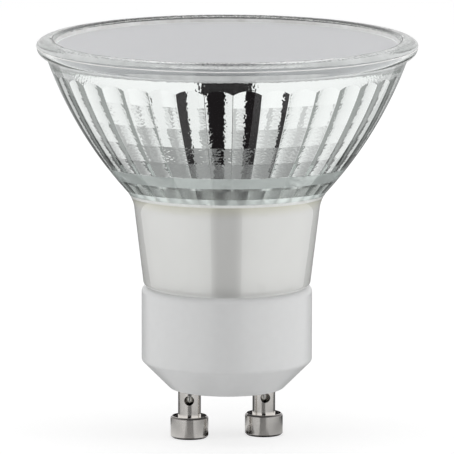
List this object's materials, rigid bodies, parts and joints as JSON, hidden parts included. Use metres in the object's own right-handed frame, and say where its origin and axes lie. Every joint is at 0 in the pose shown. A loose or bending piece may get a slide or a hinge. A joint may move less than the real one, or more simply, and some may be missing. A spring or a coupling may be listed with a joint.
{
  "type": "led reflector bulb",
  "caption": "Mains LED spot bulb: fluted glass reflector with a milky front disc, tapered neck and a white bevelled cap on twist-lock pins.",
  "frame": {"origin": "midway between the two pin ends, on the bulb's axis, at the bottom of the bounding box", "axes": "+Z along the bulb's axis, out of the front disc; X through both pins"},
  "size_m": [0.05, 0.05, 0.0528],
  "materials": {
    "pressed_glass": "clear pressed glass, mirror coated inside the bowl",
    "milky_cover": "milky, smooth",
    "satin_aluminium": "satin",
    "white_board": "white solder mask",
    "phosphor_package": "yellow phosphor",
    "plated_screw": "zinc plated",
    "white_cap": "semi-gloss white",
    "nickel_pin": "nickel plated, turned",
    "white_sleeve": "natural white",
    "green_board": "green solder mask",
    "tinned_lead": "tinned copper",
    "capacitor_can": "sleeved can",
    "ferrite": "wound ferrite drum",
    "resistor_body": "lacquered",
    "black_package": "moulded",
    "chip_body": "ceramic chips"
  },
  "bodies": {
    "root": {"glass_reflector": "pressed_glass", "front_diffuser": "milky_cover", "heat_sink_cup": "satin_aluminium", "led_board": "white_board", "led_packages": "phosphor_package", "board_screws": "plated_screw", "cap_shell": "white_cap", "contact_pin_left": "nickel_pin", "contact_pin_right": "nickel_pin", "driver_insulator": "white_sleeve", "driver_board": "green_board", "input_lead_left": "tinned_lead", "input_lead_right": "tinned_lead", "output_lead_left": "tinned_lead", "output_lead_right": "tinned_lead", "buffer_capacitor": "capacitor_can", "storage_inductor": "ferrite", "fuse_resistor": "resistor_body", "bridge_rectifier": "black_package", "driver_chip": "black_package", "chip_components": "chip_body"}
  },
  "joints": []
}
